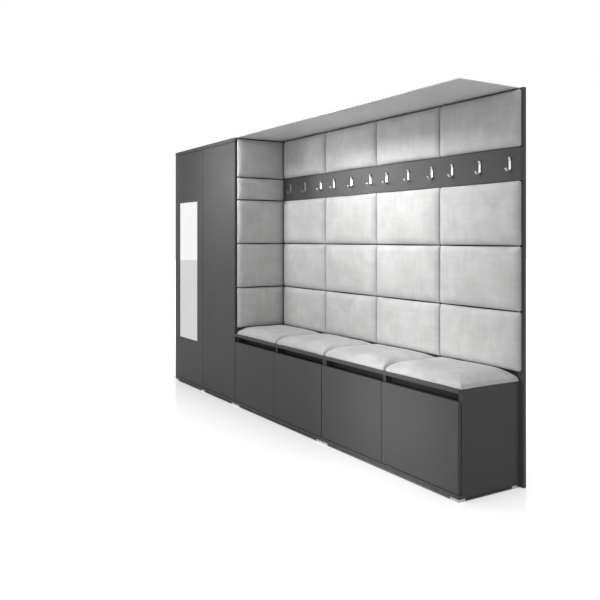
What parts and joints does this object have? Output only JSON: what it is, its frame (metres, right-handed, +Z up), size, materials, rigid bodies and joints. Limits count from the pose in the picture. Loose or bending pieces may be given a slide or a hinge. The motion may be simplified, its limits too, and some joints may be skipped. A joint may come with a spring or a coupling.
{
  "type": "mudroom locker unit",
  "caption": "Hall locker unit: tall mirrored wardrobe beside a cushioned storage bench, with a padded back wall, a coat-hook rail and a thin canopy above.",
  "frame": {"origin": "middle of the footprint, on the floor", "axes": "+X along the unit towards the bench, -Y out of the front, +Z up"},
  "size_m": [3.019, 0.4, 1.8],
  "materials": {
    "graphite_board": "dark grey melamine-faced board, fine matt grain",
    "backing_board": "thin grey hardboard",
    "velvet": "pale grey short-pile velvet",
    "mirror_glass": "silvered glass",
    "chrome": "satin chrome",
    "hinge_steel": "nickel-plated steel",
    "canopy_sheet": "light grey powder-coated sheet",
    "latch_plastic": "moulded grey plastic"
  },
  "bodies": {
    "case": {"back_pad_boards": "backing_board", "back_pads_lower_row": "velvet", "back_pads_middle_row": "velvet", "back_pads_top_row": "velvet", "back_pads_upper_row": "velvet", "back_panel": "graphite_board", "bench_a_bottom": "graphite_board", "bench_a_divider": "graphite_board", "bench_a_left_side": "graphite_board", "bench_a_right_side": "graphite_board", "bench_b_bottom": "graphite_board", "bench_b_divider": "graphite_board", "bench_b_left_side": "graphite_board", "bench_b_right_side": "graphite_board", "bench_backs": "backing_board", "bench_grip_rails": "graphite_board", "bench_shelves": "graphite_board", "bench_top": "graphite_board", "canopy": "canopy_sheet", "clothes_rod": "chrome", "clothes_rod_sockets": "chrome", "coat_hooks_1": "chrome", "coat_hooks_2": "chrome", "coat_hooks_3": "chrome", "coat_hooks_4": "chrome", "glides": "chrome", "hinge_arms": "hinge_steel", "hook_rail": "graphite_board", "latch_housings": "latch_plastic", "seat_cushions": "velvet", "shelf_supports": "hinge_steel", "side_pad_boards": "backing_board", "side_pads": "velvet", "wardrobe_back": "backing_board", "wardrobe_bottom": "graphite_board", "wardrobe_divider": "graphite_board", "wardrobe_hat_shelf": "graphite_board", "wardrobe_left_side": "graphite_board", "wardrobe_right_side": "graphite_board", "wardrobe_shelf_1": "graphite_board", "wardrobe_shelf_2": "graphite_board", "wardrobe_shelf_3": "graphite_board", "wardrobe_shelf_4": "graphite_board", "wardrobe_top": "graphite_board"},
    "wardrobe_mirror_door": {"wardrobe_mirror_door": "graphite_board", "wardrobe_mirror_door_hinge_cups": "hinge_steel", "mirror": "mirror_glass"},
    "wardrobe_plain_door": {"wardrobe_plain_door": "graphite_board", "wardrobe_plain_door_hinge_cups": "hinge_steel"},
    "bench_door_1": {"bench_door_1": "graphite_board", "bench_door_1_hinge_cups": "hinge_steel"},
    "bench_door_2": {"bench_door_2": "graphite_board", "bench_door_2_hinge_cups": "hinge_steel"},
    "bench_door_3": {"bench_door_3": "graphite_board", "bench_door_3_hinge_cups": "hinge_steel"},
    "bench_door_4": {"bench_door_4": "graphite_board", "bench_door_4_hinge_cups": "hinge_steel"},
    "latch_plunger_left": {"latch_plunger_left": "latch_plastic"},
    "latch_plunger_right": {"latch_plunger_right": "latch_plastic"}
  },
  "joints": [
    {"name": "wardrobe_mirror_door_hinge", "type": "hinge", "parent": "case", "child": "wardrobe_mirror_door", "pos_m": [-1.5, -0.1935, 0], "axis": [0, 0, -1], "range_deg": [0, 90]},
    {"name": "wardrobe_plain_door_hinge", "type": "hinge", "parent": "case", "child": "wardrobe_plain_door", "pos_m": [-0.519, -0.1935, 0], "axis": [0, 0, 1], "range_deg": [0, 90]},
    {"name": "bench_door_1_hinge", "type": "hinge", "parent": "case", "child": "bench_door_1", "pos_m": [-0.5, -0.1935, 0], "axis": [0, 0, -1], "range_deg": [0, 90]},
    {"name": "bench_door_2_hinge", "type": "hinge", "parent": "case", "child": "bench_door_2", "pos_m": [0.481, -0.1935, 0], "axis": [0, 0, 1], "range_deg": [0, 90]},
    {"name": "bench_door_3_hinge", "type": "hinge", "parent": "case", "child": "bench_door_3", "pos_m": [0.5, -0.1935, 0], "axis": [0, 0, -1], "range_deg": [0, 90]},
    {"name": "bench_door_4_hinge", "type": "hinge", "parent": "case", "child": "bench_door_4", "pos_m": [1.481, -0.1935, 0], "axis": [0, 0, 1], "range_deg": [0, 90]},
    {"name": "latch_plunger_left_slide", "type": "slide", "parent": "case", "child": "latch_plunger_left", "axis": [0, 1, 0], "range_m": [0, 0.003], "stiffness_N_per_m": 300},
    {"name": "latch_plunger_right_slide", "type": "slide", "parent": "case", "child": "latch_plunger_right", "axis": [0, 1, 0], "range_m": [0, 0.003], "stiffness_N_per_m": 300}
  ]
}
